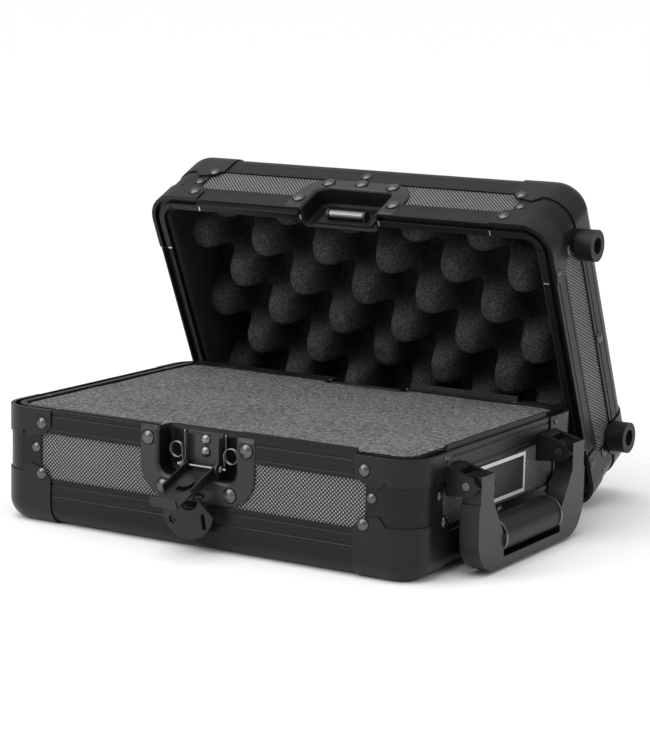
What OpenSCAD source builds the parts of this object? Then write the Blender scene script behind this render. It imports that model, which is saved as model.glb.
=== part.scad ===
// Small flight case with a lift-off lid, two butterfly latches and a side handle.
// The base stands on the floor.  The lid stands behind it on its rear rim and leans on its back edge.

/* [Case] */
// Outside length along the front
case_l = 310; // [280:1:340]
// Outside depth from front to back
case_w = 220; // [200:1:240]
// Height of the base up to its rim
base_h = 76; // [72:1:90]
// Height of the lid above its rim
lid_h = 66; // [62:1:80]
// Radius of the upright corners
corner_r = 20; // [18:1:24]
// Radius of the long lower and upper edges
edge_r = 14; // [10:1:15]

/* [Walls] */
// Thickness of the laminated panels
panel_t = 7; // [6:0.5:8]
// How far the frame stands proud of the panels
skin_t = 1.2; // [1:0.1:1.6]
// Height of the base's lower frame band
base_band = 31; // [28:1:34]
// Height of the lid's upper frame band
lid_band = 26.5; // [24:0.5:30]
// Height of the rim bands
rim_band = 15.5; // [14:0.5:17]
// How far each corner piece reaches along a wall
brace_reach = 42; // [38:1:46]
// Height of the sealing tongue
tongue_h = 3.2; // [2.5:0.1:4]

/* [Latches] */
// Half width of a latch dish's opening
dish_half = 29; // [26:1:32]
// Depth of a latch dish below the frame's face
dish_deep = 13.8; // [13:0.2:16]
// Opening height of the base's dishes
dish_open = 30; // [28:1:31]
// Height of the latch pin above the floor
pin_z = 52.5; // [51:0.5:54]
// Depth of the latch pin below the frame's face
pin_u = 6; // [5.5:0.5:7]
// Angle of an open latch from upright
latch_open = 112; // [60:1:113]
// Distance from the pin to the knob's spindle
spindle_s = 19; // [17:1:21]

/* [Handle] */
// Distance of the handle's side arms from the middle
arm_y = 63.5; // [60:0.5:66]
// Height of the handle's pivots
pivot_z = 57.5; // [56:0.5:59]
// Distance of the pivots from the frame's face
pivot_out = 15; // [14:0.5:16]
// Radius of the hand grip
grip_r = 11.2; // [10:0.1:11.2]

/* [Lid position] */
// Angle between the standing lid and its closed position
lid_open = 64.8; // [64:0.1:66]

/* [Hidden] */
$fn = 48;
hl = case_l / 2;
hw = case_w / 2;
half = [hw, hl, hw, hl];
core_w = 16;
rim_cap = 6;
rim_in = skin_t + panel_t + 1.2;
rim_edge = dish_half + 14;
grip_x = hl + 13.5;
grip_z = 19.6;
grip_half = 37;
frame_in = 10.5;
frame_out = 23.5;
bracket_w = 24;
foot_y = 76;
foot_z = 38;
keeper_z = 11;
keeper_u = 9.5;
roller_r = 3;
base_u = 9.8;
// Foot of the standing lid's rear rim behind the base, and its lift off the floor
lid_gap = 1.2;
lid_lift = 0.95;
lid_foot_y = hw + (lid_gap + base_h * cos(lid_open)
    - lid_lift * cos(lid_open)) / sin(lid_open);

// ---- placing -------------------------------------------------------------
// Walls are numbered 0 front, 1 right, 2 back, 3 left.  Inside at_wall, x runs
// along the wall, y goes inward from the frame's outer face, and z goes up.
module at_wall(k) rotate([0, 0, 90 * k]) translate([0, -half[k], 0]) children();

// A bar along wall k from s0 to s1, with the 2D section given as (inward, up)
module bar(k, s0, s1)
    at_wall(k) translate([s0, 0, 0]) rotate([90, 0, 90]) linear_extrude(s1 - s0)
        children();

// The same section swept round corner c: 0 front right, then anticlockwise
module corner_sweep(c) {
    cx = (c < 2 ? 1 : -1) * (hl - corner_r);
    cy = (c == 1 || c == 2 ? 1 : -1) * (hw - corner_r);
    translate([cx, cy, 0]) rotate([0, 0, 90 * c - 90]) rotate_extrude(angle = 90, $fn = 64)
        translate([corner_r, 0]) mirror([1, 0]) children();
}

// The lid is drawn like the base, floor down, then turned over
module lid_local() translate([0, 0, lid_h]) mirror([0, 0, 1]) children();

// From the lid's closed frame, rim at z = 0, to where it stands behind the base
module lid_standing()
    translate([0, lid_foot_y, lid_lift]) rotate([-lid_open, 0, 0])
        translate([0, -hw, 0]) children();

// Latch frame: pin along x at the origin, body up when shut, outward is -y
module at_latch(k) rotate([0, 0, 180 * k]) translate([0, pin_u - hw, pin_z]) children();
module open_latch(k) at_latch(k) rotate([latch_open, 0, 0]) children();

// ---- plain shapes --------------------------------------------------------
module rrect(l, w, r) {
    square([l - 2 * r, w], center = true);
    square([l, w - 2 * r], center = true);
    for (x = [-1, 1], y = [-1, 1]) translate([x * (l / 2 - r), y * (w / 2 - r)]) circle(r);
}

// Domed rivet standing on the plane z = 0
module rivet(r = 4.3, h = 1.8) {
    ball = (r * r + h * h) / (2 * h);
    intersection() {
        translate([0, 0, h - ball]) sphere(ball);
        translate([-r, -r, 0]) cube([2 * r, 2 * r, h + 1]);
    }
}

// Rivet on wall k at s along it and z up, standing on a face at depth u
module wall_rivet(k, s, z, u, r = 4.3, h = 1.8)
    at_wall(k) translate([s, u, z]) rotate([90, 0, 0]) rivet(r, h);

// ---- frame sections, drawn as (inward, up) --------------------------------
module edge_corner_cut()
    difference() {
        translate([-2, -2]) square([edge_r + 2, edge_r + 2]);
        translate([edge_r, edge_r]) circle(edge_r, $fn = 64);
    }

module edge_section(band)
    difference() {
        union() {
            square([skin_t, band]);
            square([skin_t + panel_t, 12]);
            square([core_w, panel_t]);
        }
        edge_corner_cut();
    }

// Solid corner under a cap: full height at the post's ring, thin below
module cap_core_section(band)
    difference() {
        union() {
            square([skin_t + panel_t, band]);
            square([core_w, panel_t]);
        }
        edge_corner_cut();
    }

// Pressed sheet of a cap, 1 mm proud of the frame
module cap_sheet_section(top)
    difference() {
        union() {
            translate([-1, edge_r]) square([1, top - edge_r]);
            intersection() {
                translate([edge_r, edge_r]) circle(edge_r + 1, $fn = 64);
                translate([-1, 0]) square([edge_r + 1, edge_r]);
            }
        }
        translate([edge_r, edge_r]) circle(edge_r, $fn = 64);
    }

module rim_section(h, kind)
    difference() {
        union() {
            translate([0, h - rim_band]) square([skin_t, rim_band]);
            translate([0, h - rim_cap]) square([rim_in, rim_cap]);
            translate([skin_t + panel_t, h - 14]) square([rim_in - skin_t - panel_t, 14]);
            if (kind == "tongue") translate([2.4, h])
                polygon([[0, 0], [2.2, 0], [1.8, tongue_h], [0.4, tongue_h]]);
        }
        if (kind == "groove") translate([1.8, h - tongue_h - 0.6]) square([3.4, 10]);
    }

module rim_corner_section(h)
    difference() {
        translate([0, h - rim_band]) square([rim_in, rim_band]);
        translate([1.8, h - tongue_h - 0.6]) square([3.4, 10]);
    }

// ---- shell pieces, shared by the base and the lid --------------------------
module wall_panel(k, h, open) {
    s = half[(k + 1) % 4] - corner_r;
    at_wall(k) difference() {
        translate([-s, skin_t, 12]) cube([2 * s, panel_t, h - rim_cap - 12]);
        if (open > 0) translate([-dish_half - 2, -1, h - open - 2])
            cube([2 * dish_half + 4, 20, 50]);
    }
}

module floor_panel()
    linear_extrude(panel_t)
        rrect(case_l - 2 * core_w, case_w - 2 * core_w, corner_r - core_w);

module edge_frame(band)
    for (k = [0:3]) {
        s = half[(k + 1) % 4] - corner_r;
        bar(k, -s, s) edge_section(band);
    }

// Rims of one half of the shell: side 1 is the right half, -1 the left half
module rim_half(h, side, kind) {
    a = side > 0 ? rim_edge : -(hl - brace_reach);
    b = side > 0 ? hl - brace_reach : -rim_edge;
    bar(0, a, b) rim_section(h, kind);
    bar(2, -b, -a) rim_section(h, kind);
    bar(2 - side, -(hw - brace_reach), hw - brace_reach) rim_section(h, kind);
}

// Pressed ear of a corner piece, seen from outside: x away from the corner
module ear(z0, z1, down)
    translate([0, z0]) {
        r = brace_reach - corner_r;
        polygon(down
            ? [[0, 5], [0, z1 - z0], [r, z1 - z0], [r, 9], [r - 5, 3], [5, 0]]
            : [[0, 0], [0, z1 - z0 - 5], [5, z1 - z0], [r - 5, z1 - z0 - 3], [r, z1 - z0 - 9], [r, 0]]);
    }

// One ear on each side of corner c, from plane u = -1 to u = 0
module ears(c, z0, z1, down) {
    w0 = [0, 1, 2, 3][c];
    w1 = [1, 2, 3, 0][c];
    at_wall(w0) translate([half[(w0 + 1) % 4] - corner_r, 0, 0]) rotate([90, 0, 0])
        mirror([1, 0, 0]) linear_extrude(1) ear(z0, z1, down);
    at_wall(w1) translate([-(half[(w1 + 1) % 4] - corner_r), 0, 0]) rotate([90, 0, 0])
        linear_extrude(1) ear(z0, z1, down);
}

module rim_corners(h)
    for (c = [0:3]) {
        w1 = (c + 1) % 4;
        s0 = half[(c + 1) % 4] - corner_r;
        s1 = half[(w1 + 1) % 4] - corner_r;
        reach = brace_reach - corner_r;
        corner_sweep(c) rim_corner_section(h);
        corner_sweep(c) translate([-1, h - rim_band - 2]) square([1, rim_band + 2]);
        bar(c, s0 - reach, s0) rim_section(h, "groove");
        bar(w1, -s1, -s1 + reach) rim_section(h, "groove");
        ears(c, h - rim_band - 4, h, true);
    }

module posts(h, band)
    for (c = [0:3]) {
        w1 = (c + 1) % 4;
        s0 = half[(c + 1) % 4] - corner_r;
        s1 = half[(w1 + 1) % 4] - corner_r;
        corner_sweep(c) translate([0, band])
            square([skin_t + panel_t, h - rim_band - band]);
        bar(c, s0 - 14, s0) translate([0, band]) square([skin_t, h - rim_band - band]);
        bar(w1, -s1, -s1 + 14) translate([0, band]) square([skin_t, h - rim_band - band]);
    }

module caps(band)
    for (c = [0:3]) {
        w1 = (c + 1) % 4;
        s0 = half[(c + 1) % 4] - corner_r;
        s1 = half[(w1 + 1) % 4] - corner_r;
        reach = brace_reach - corner_r;
        corner_sweep(c) cap_core_section(band);
        corner_sweep(c) cap_sheet_section(band + 3);
        bar(c, s0 - reach, s0) cap_sheet_section(edge_r + 8);
        bar(w1, -s1, -s1 + reach) cap_sheet_section(edge_r + 8);
        ears(c, edge_r + 8, band + 9, false);
    }

// Rivets of the corner pieces and posts, and one in the middle of each end band.
// Wall skip has feet where its lower rivets would be.
module shell_rivets(h, band, skip = -1) {
    for (k = [0:3], m = [-1, 1]) {
        s = half[(k + 1) % 4];
        if (k == 0 || k == 2) wall_rivet(k, m * (s - 35), h - 9, -1);
        else wall_rivet(k, m * (s - 35), h - 3.4, -1, 2.8, 1.3);
        wall_rivet(k, m * (s - 30), band + 0.66 * (h - rim_band - band), 0, 3.6, 1.5);
        if (k != skip) wall_rivet(k, m * (s - 35), band + 3, -1);
    }
    for (k = [1, 3]) wall_rivet(k, 0, band - 5, 0);
}

// ---- latch dish: flange plate, recess and shoulders ------------------------
module dish_plate(h, band) {
    w = rim_edge - 0.5;
    r = 20;
    translate([-w, band + 0.3 + r]) square([2 * w, h - 3.4 - band - 0.3 - r]);
    translate([r - w, band + 0.3]) square([2 * (w - r), h - 3.4 - band - 0.3]);
    for (x = [-1, 1]) translate([x * (w - r), band + 0.3 + r]) circle(r, $fn = 64);
}

module dish(k, h, band, open)
    at_wall(k) difference() {
        union() {
            translate([0, skin_t, 0]) rotate([90, 0, 0])
                linear_extrude(skin_t + 0.8) dish_plate(h, band);
            translate([-dish_half - 2, skin_t, h - open - 2])
                cube([2 * dish_half + 4, dish_deep, open + 2]);
            for (x = [-rim_edge + 0.5, dish_half + 2]) translate([x, skin_t, h - rim_cap])
                cube([rim_edge - dish_half - 2.5, rim_in - skin_t, rim_cap]);
        }
        translate([-dish_half, -5, h - open]) cube([2 * dish_half, 5 + dish_deep, open + 5]);
    }

// ---- latch -----------------------------------------------------------------
module latch_base(k) at_wall(k) {
    translate([-12.8, base_u, 46]) cube([25.6, 1.2, 28]);
    for (x = [-12.8, 11.6]) difference() {
        union() {
            translate([x, pin_u - 1, 46]) cube([1.2, dish_deep - pin_u + 1, 26]);
            translate([x, pin_u, pin_z]) rotate([0, 90, 0]) cylinder(r = 4, h = 1.2);
        }
        translate([x - 1, pin_u, pin_z]) rotate([0, 90, 0]) cylinder(r = 1.25, h = 4);
    }
    for (z = [61.5, 69]) translate([0, base_u, z]) rotate([90, 0, 0]) rivet(3.3, 1.7);
}

module latch_pin(k) at_latch(k) rotate([0, 90, 0]) cylinder(r = 1.25, h = 36, center = true);

// Wire springs: a ring each side, a leg down to the pin and a leg up the wall
module springs(k) at_latch(k) for (m = [-1, 1]) {
    translate([m * 20.3, 2, 8.6]) rotate([90, 0, 0]) rotate_extrude($fn = 48)
        translate([5, 0]) circle(0.65, $fn = 16);
    translate([m * 15.4, 2, 8.6]) cylinder(r = 0.65, h = 13.5, $fn = 16);
    translate([m * 15.4, 0, 1.9]) rotate([-16.6, 0, 0]) cylinder(r = 0.65, h = 7, $fn = 16);
}

module latch_body(k) open_latch(k) {
    difference() {
        union() {
            translate([-11.2, -3.2, 2]) cube([22.4, 1.2, 29]);
            for (x = [-11.2, 10]) {
                translate([x, -3.2, 0]) cube([1.2, 6.2, 29]);
                rotate([0, 90, 0]) translate([0, 0, x]) cylinder(r = 3.2, h = 1.2);
            }
        }
        rotate([0, 90, 0]) cylinder(r = 1.3, h = 40, center = true);
        translate([0, 0, spindle_s]) rotate([90, 0, 0]) cylinder(r = 3.4, h = 20, center = true);
    }
}

// Turned spindle of the butterfly knob, with the lug that carries the wing
module spindle(k) open_latch(k) translate([0, 0, spindle_s]) {
    rotate([90, 0, 0]) translate([0, 0, -0.9]) cylinder(r = 3.35, h = 4.2);
    rotate([90, 0, 0]) translate([0, 0, -0.9]) cylinder(r = 5.4, h = 1.4);
    rotate([90, 0, 0]) translate([0, 0, 3.3]) cylinder(r = 6.5, h = 2.7);
    difference() {
        union() {
            translate([-3.4, -8.2, -2]) cube([6.8, 3, 4]);
            translate([-3.4, -8.2, 0]) rotate([0, 90, 0]) cylinder(r = 2, h = 6.8);
        }
        translate([-5, -8.2, 0]) rotate([0, 90, 0]) cylinder(r = 1.05, h = 10);
    }
}

// Flat draw hook that runs inside the body, with its turned-over lip
module hook(k) open_latch(k) {
    difference() {
        translate([-9.6, -1.9, 8]) cube([19.2, 1, 36.8]);
        for (z = [spindle_s, spindle_s + 5.4]) translate([0, 0, z]) rotate([90, 0, 0])
            cylinder(r = 3.8, h = 8, center = true);
        translate([-3.8, -4, spindle_s]) cube([7.6, 8, 5.4]);
    }
    translate([-9.6, -1.9, 43.4]) cube([19.2, 6.2, 1.4]);
}

// D-shaped wing plate hinged on the spindle's lug, hanging straight down
module wing(k) open_latch(k) translate([0, -8.2, spindle_s]) rotate([-latch_open, 0, 0]) {
    rotate([90, 0, 0]) linear_extrude(2, center = true) difference() {
        union() {
            translate([0, -9.5]) intersection() {
                circle(19, $fn = 64);
                translate([-20, -22]) square([40, 19]);
            }
            polygon([[-7.5, 0], [7.5, 0], [9, -4], [18.76, -12.5], [-18.76, -12.5], [-9, -4]]);
        }
        translate([0, -2.6]) circle(7.6);
        translate([-11, -17]) circle(2.8);
        translate([11.2, -12.5]) circle(1.5);
        translate([12.4, -19.5]) circle(1.5);
        translate([11.2, -12.5]) rotate(-80.27) translate([0, -1.5]) square([7.1, 3]);
    }
    for (x = [-11, 3.7]) translate([x, 0, 0]) rotate([0, 90, 0]) cylinder(r = 1.6, h = 7.3);
    translate([-9, 0, 0]) rotate([0, 90, 0]) cylinder(r = 1, h = 18);
}

// ---- keeper on the lid -------------------------------------------------------
module keeper(k) lid_standing() at_wall(k) {
    translate([-21, dish_deep - 1.2, 4]) cube([42, 1.2, 15]);
    for (x = [-15, 13.4]) {
        translate([x, keeper_u, keeper_z - 3.5]) cube([1.6, dish_deep - 1.2 - keeper_u, 7]);
        translate([x, keeper_u, keeper_z]) rotate([0, 90, 0]) cylinder(r = 3.5, h = 1.6);
    }
    translate([-14, keeper_u, keeper_z]) rotate([0, 90, 0]) cylinder(r = 1.2, h = 28);
}

module roller(k) lid_standing() at_wall(k) translate([-13, keeper_u, keeper_z])
    rotate([0, 90, 0]) difference() {
        cylinder(r = roller_r, h = 26);
        translate([0, 0, -1]) cylinder(r = 1.3, h = 28);
    }

module foot(m) lid_standing() translate([hl + 1, m * foot_y, foot_z]) rotate([0, 90, 0])
    difference() {
        cylinder(r = 10.5, h = 12.5);
        translate([0, 0, 6]) cylinder(r = 5.6, h = 10);
    }

// ---- base --------------------------------------------------------------------
module base_front_panel() color("#3a3a3c") wall_panel(0, base_h, dish_open);
module base_back_panel() color("#3a3a3c") wall_panel(2, base_h, dish_open);
module base_left_panel() color("#3a3a3c") wall_panel(3, base_h, 0);
module base_right_panel() color("#3a3a3c") wall_panel(1, base_h, 0);
module base_bottom_panel() color("#333335") floor_panel();
module base_edge_frame() color("#1d1d1f") edge_frame(base_band);
module base_rim_tongue() color("#242426") rim_half(base_h, 1, "tongue");
module base_rim_groove() color("#242426") rim_half(base_h, -1, "groove");
module base_rim_corners() color("#2a2a2c") rim_corners(base_h);
module base_posts() color("#1f1f21") posts(base_h, base_band);
module base_caps() color("#232325") caps(base_band);
module base_rivets() color("#4a4a4c") {
    shell_rivets(base_h, base_band);
    for (k = [0, 2], m = [-1, 1]) {
        wall_rivet(k, m * 36.6, base_h - 8, -0.8, 5);
        wall_rivet(k, m * 25, base_band + 7.5, -0.8, 5);
    }
}

// Pick foam, cut away round the dishes
module pick_foam() color("#77797b")
    difference() {
        translate([0, 0, panel_t]) linear_extrude(base_h - panel_t - 0.4)
            rrect(case_l - 2 * rim_in, case_w - 2 * rim_in, corner_r - rim_in);
        for (k = [0, 2]) at_wall(k)
            translate([-dish_half - 2.5, 0, base_h - dish_open - 3])
                cube([2 * dish_half + 5, dish_deep + skin_t + 0.5, 60]);
    }

module nameplate() color("#151516") at_wall(1) translate([0, skin_t, 46])
    rotate([90, 0, 0]) linear_extrude(1) rrect(70, 27, 1.5);

// ---- handle --------------------------------------------------------------------
module bracket_side()
    polygon([[0, -7.5], [0, 10.5], [pivot_out + 3.7, 5.3], [pivot_out + 8.6, -1],
        [pivot_out + 3.4, -6.3]]);

// Back plate and two cheeks, open in front and above for the handle's arm
module handle_brackets() color("#2b2b2d") for (m = [-1, 1])
    difference() {
        union() {
            translate([hl + 1.05, m * arm_y + bracket_w / 2, pivot_z]) rotate([90, 0, 0])
                linear_extrude(bracket_w) intersection() {
                    translate([-1.05, 0]) bracket_side();
                    translate([0, -20]) square([60, 40]);
                }
            translate([hl - skin_t, m * arm_y - (m > 0 ? bracket_w / 2 : 4.2), pivot_z - 7.5])
                cube([skin_t + 2, bracket_w / 2 + 4.2, base_h - rim_band - pivot_z + 7.5]);
            translate([hl, m * arm_y - (m > 0 ? bracket_w / 2 : 4.2), pivot_z - 7.5])
                cube([2, bracket_w / 2 + 4.2, 17]);
        }
        translate([hl + 6.5, m * arm_y - 8.7, pivot_z - 30]) cube([60, 17.4, 60]);
        translate([hl + pivot_out, m * arm_y, pivot_z]) rotate([90, 0, 0])
            cylinder(r = 2.5, h = 60, center = true);
    }

module handle_pins() color("#8a8a8c") for (m = [-1, 1])
    translate([hl + pivot_out, m * arm_y, pivot_z]) rotate([90, 0, 0]) {
        cylinder(r = 2.48, h = bracket_w + 1, center = true);
        translate([0, 0, -bracket_w / 2 - 0.7]) cylinder(r = 4.6, h = 1.4, center = true);
    }

// Outline of the handle's frame as (along, up): two arms, two round corners
// and the strip under the grip
module frame_outline()
    difference() {
        union() {
            translate([-arm_y - 10, 23]) square([2 * arm_y + 20, pivot_z - 17]);
            translate([-52, 2.5]) square([104, 30]);
            for (m = [-1, 1]) translate([m * 51, 25]) circle(22.5, $fn = 96);
        }
        translate([-grip_half - 2.4, 8.4]) square([2 * grip_half + 4.8, 80]);
        polygon([[-grip_half - 2.3, 22], [-47, 33], [-arm_y + 8.3, 46], [-arm_y + 8.3, 90],
            [arm_y - 8.3, 90], [arm_y - 8.3, 46], [47, 33], [grip_half + 2.3, 22]]);
        for (m = [-1, 1]) translate([m * (arm_y + 8.3 + 5), 70]) square([10, 48], center = true);
    }

module handle_arms() color("#1c1c1e")
    difference() {
        translate([hl + frame_in, 0, 0]) rotate([90, 0, 90])
            linear_extrude(frame_out - frame_in) frame_outline();
        translate([grip_x, 0, grip_z]) rotate([90, 0, 0])
            cylinder(r = grip_r + 0.05, h = 2 * grip_half, center = true);
        for (m = [-1, 1]) translate([grip_x, m * (grip_half + 1.2), grip_z]) rotate([90, 0, 0])
            cylinder(r = grip_r + 0.65, h = 2.4, center = true);
        for (m = [-1, 1]) translate([hl + pivot_out, m * arm_y, pivot_z]) rotate([90, 0, 0])
            cylinder(r = 2.55, h = 40, center = true);
    }

module handle_collars() color("#b0b0b2") for (m = [-1, 1])
    translate([grip_x, m * (grip_half + 1.2), grip_z]) rotate([90, 0, 0])
        cylinder(r = grip_r + 0.6, h = 2.4, center = true);

module handle_grip() color("#222224") translate([grip_x, 0, grip_z]) rotate([90, 0, 0])
    cylinder(r = grip_r, h = 2 * grip_half, center = true);

// ---- latches -------------------------------------------------------------------
module front_dish() color("#1e1e20") dish(0, base_h, base_band, dish_open);
module front_latch_base() color("#303032") latch_base(0);
module front_latch_pin() color("#6a6a6c") latch_pin(0);
module front_springs() color("#7a7a7c") springs(0);
module front_latch_body() color("#28282a") latch_body(0);
module front_spindle() color("#3c3c3e") spindle(0);
module front_hook() color("#323234") hook(0);
module front_wing() color("#2e2e30") wing(0);
module rear_dish() color("#1e1e20") dish(2, base_h, base_band, dish_open);
module rear_latch_base() color("#303032") latch_base(2);
module rear_latch_pin() color("#6a6a6c") latch_pin(1);
module rear_springs() color("#7a7a7c") springs(1);
module rear_latch_body() color("#28282a") latch_body(1);
module rear_spindle() color("#3c3c3e") spindle(1);
module rear_hook() color("#323234") hook(1);
module rear_wing() color("#2e2e30") wing(1);

// ---- lid -----------------------------------------------------------------------
module in_lid() lid_standing() lid_local() children();
lid_dish_open = dish_open - 1;

module lid_front_panel() color("#3a3a3c") in_lid() wall_panel(0, lid_h, lid_dish_open);
module lid_back_panel() color("#3a3a3c") in_lid() wall_panel(2, lid_h, lid_dish_open);
module lid_left_panel() color("#3a3a3c") in_lid() wall_panel(3, lid_h, 0);
module lid_right_panel() color("#3a3a3c") in_lid() wall_panel(1, lid_h, 0);
module lid_top_panel() color("#333335") in_lid() floor_panel();
module lid_edge_frame() color("#1d1d1f") in_lid() edge_frame(lid_band);
module lid_rim_tongue() color("#242426") in_lid() rim_half(lid_h, -1, "tongue");
module lid_rim_groove() color("#242426") in_lid() rim_half(lid_h, 1, "groove");
module lid_rim_corners() color("#2a2a2c") in_lid() rim_corners(lid_h);
module lid_posts() color("#1f1f21") in_lid() posts(lid_h, lid_band);
module lid_caps() color("#232325") in_lid() caps(lid_band);
module lid_rivets() color("#4a4a4c") in_lid() {
    shell_rivets(lid_h, lid_band, 1);
    for (k = [0, 2]) {
        for (m = [-1, 1]) {
            wall_rivet(k, m * 36.6, lid_h - 12, -0.8, 5);
            wall_rivet(k, m * 25, lid_h - 34, -0.8, 5);
        }
        wall_rivet(k, 0, lid_h - 35.5, -0.8, 5);
        wall_rivet(k, -2, lid_band - 7, 0);
    }
}

// Convoluted foam block behind the points of its lobes
module lid_foam() color("#1a1a1b") in_lid()
    difference() {
        translate([0, 0, panel_t]) linear_extrude(lid_h - 32 - panel_t)
            rrect(case_l - 2 * rim_in, case_w - 2 * rim_in, corner_r - rim_in);
        for (k = [0, 2]) at_wall(k)
            translate([-dish_half - 2.5, 0, lid_h - lid_dish_open - 3])
                cube([2 * dish_half + 5, dish_deep + skin_t + 0.5, 60]);
    }

// Soft strip lining the lid's walls between the foam and the rim
module lid_liner() color("#1b1b1c") in_lid()
    difference() {
        translate([0, 0, lid_h - 32]) linear_extrude(29) difference() {
            rrect(case_l - 2 * rim_in, case_w - 2 * rim_in, corner_r - rim_in);
            rrect(case_l - 2 * rim_in - 7, case_w - 2 * rim_in - 7, corner_r - rim_in - 3.5);
        }
        for (k = [0, 2]) at_wall(k)
            translate([-dish_half - 2.5, 0, lid_h - lid_dish_open - 3])
                cube([2 * dish_half + 5, 30, 60]);
    }

module lid_front_dish() color("#1e1e20") in_lid() dish(0, lid_h, lid_band, lid_dish_open);
module lid_rear_dish() color("#1e1e20") in_lid() dish(2, lid_h, lid_band, lid_dish_open);
module front_keeper() color("#38383a") keeper(0);
module rear_keeper() color("#38383a") keeper(2);
module front_roller() color("#8c8c8e") roller(0);
module rear_roller() color("#8c8c8e") roller(2);
module front_foot() color("#1a1a1a") foot(-1);
module rear_foot() color("#1a1a1a") foot(1);

base_front_panel();
base_back_panel();
base_left_panel();
base_right_panel();
base_bottom_panel();
base_edge_frame();
base_rim_tongue();
base_rim_groove();
base_rim_corners();
base_posts();
base_caps();
base_rivets();
pick_foam();
nameplate();
handle_brackets();
handle_pins();
handle_arms();
handle_collars();
handle_grip();
front_dish();
front_latch_base();
front_latch_pin();
front_springs();
front_latch_body();
front_spindle();
front_hook();
front_wing();
rear_dish();
rear_latch_base();
rear_latch_pin();
rear_springs();
rear_latch_body();
rear_spindle();
rear_hook();
rear_wing();
lid_front_panel();
lid_back_panel();
lid_left_panel();
lid_right_panel();
lid_top_panel();
lid_edge_frame();
lid_rim_tongue();
lid_rim_groove();
lid_rim_corners();
lid_posts();
lid_caps();
lid_rivets();
lid_foam();
lid_liner();
lid_front_dish();
lid_rear_dish();
front_keeper();
front_roller();
rear_keeper();
rear_roller();
front_foot();
rear_foot();
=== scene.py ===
import math
import bpy
import bmesh
from mathutils import Matrix, Vector, noise


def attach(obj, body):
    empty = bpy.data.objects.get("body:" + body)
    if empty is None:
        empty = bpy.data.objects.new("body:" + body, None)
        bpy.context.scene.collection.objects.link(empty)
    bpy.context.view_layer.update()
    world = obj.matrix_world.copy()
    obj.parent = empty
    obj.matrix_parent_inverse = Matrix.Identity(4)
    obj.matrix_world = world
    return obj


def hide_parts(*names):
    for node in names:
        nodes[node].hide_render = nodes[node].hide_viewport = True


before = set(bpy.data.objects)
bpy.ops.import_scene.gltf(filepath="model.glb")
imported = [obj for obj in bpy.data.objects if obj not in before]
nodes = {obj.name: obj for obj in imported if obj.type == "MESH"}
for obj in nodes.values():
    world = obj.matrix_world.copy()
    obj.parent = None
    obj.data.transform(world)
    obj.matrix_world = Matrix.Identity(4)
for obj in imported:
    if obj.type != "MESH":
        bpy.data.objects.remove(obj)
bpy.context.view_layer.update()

scene = bpy.context.scene
noise.seed_set(7)

# ---------------------------------------------------------------- sizes, in mm, as in the CAD
CASE_L, CASE_W, BASE_H, LID_H = 310, 220, 76, 66
CORNER_R, EDGE_R, PANEL_T, SKIN_T = 20, 14, 7, 1.2
BASE_BAND, LID_BAND, RIM_BAND, RIM_CAP, REACH = 31, 26.5, 15.5, 6, 42
TONGUE_H, DISH_HALF, DISH_DEEP, DISH_OPEN, LID_DISH_OPEN = 3.2, 29, 13.8, 30, 29
PIN_U, PIN_Z = 6, 52.5
LEG_S, COIL_U, COIL_Z, COIL_R = 15.4, 9.2, 61.1, 4.9       # latch springs
LOBE_X, LOBE_Y, LOBE_MID, LOBE_SWING = 50, 57, 28.0, 16.5  # lid foam: pitches, height
LOBE_AT_X, LOBE_AT_Y, LOBE_LEAN = 14, -1, 0.045            # where one lobe peaks, row slant
PRESS_X, PRESS_Y, PRESS_TOP, PRESS_EDGE = 36, 90, 33.5, 8  # foam pressed down at each dish
LATCH_Y, LATCH_HALF_X, LATCH_HALF_Y, LATCH_EDGE = 45.2, 24, 30, 10  # lobes lowered there
LATCH_LOWER = 0.32
SCREW_OUT = 7.2                                            # foot screws, out from the end
LID_OPEN, LID_GAP, LID_LIFT = 64.8, 1.2, 0.95
HL, HW = CASE_L / 2, CASE_W / 2
HALF = [HW, HL, HW, HL]
RIM_IN = SKIN_T + PANEL_T + 1.2
FOOT_Y, FOOT_Z = 76, 38
TURN = math.radians(LID_OPEN)
LID_FOOT_Y = HW + (LID_GAP + BASE_H * math.cos(TURN) - LID_LIFT * math.cos(TURN)) / math.sin(TURN)

MM = Matrix.Scale(0.001, 4)
BASE = MM
QUARTER_X = Matrix.Rotation(math.radians(90), 4, "X")
LID = (MM @ Matrix.Translation((0, LID_FOOT_Y, LID_LIFT)) @ Matrix.Rotation(-TURN, 4, "X")
       @ Matrix.Translation((0, -HW, LID_H)) @ Matrix.Diagonal((1, 1, -1, 1)))


def wall(k):
    """Along wall k, inward from its outer face, up."""
    return Matrix.Rotation(math.radians(90 * k), 4, "Z") @ Matrix.Translation((0, -HALF[k], 0))


# ---------------------------------------------------------------- camera, floor and light
def make_camera():
    cam = bpy.data.objects.new("camera", bpy.data.cameras.new("camera"))
    scene.collection.objects.link(cam)
    yaw, pitch, roll = math.radians(-30.92), math.radians(9.84), math.radians(1.26)
    f = Vector((math.sin(yaw) * math.cos(pitch), math.cos(yaw) * math.cos(pitch), -math.sin(pitch)))
    r = Vector((math.cos(yaw), -math.sin(yaw), 0))
    u = r.cross(f)
    r2 = r * math.cos(roll) + u * math.sin(roll)
    u2 = u * math.cos(roll) - r * math.sin(roll)
    rot = Matrix((r2, u2, -f)).transposed()
    cam.matrix_world = Matrix.Translation((0.7974, -1.2892, 0.3595)) @ rot.to_4x4()
    cam.data.sensor_width = 36
    cam.data.lens = 112.64
    cam.data.clip_start, cam.data.clip_end = 0.05, 200
    scene.camera = cam


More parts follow.
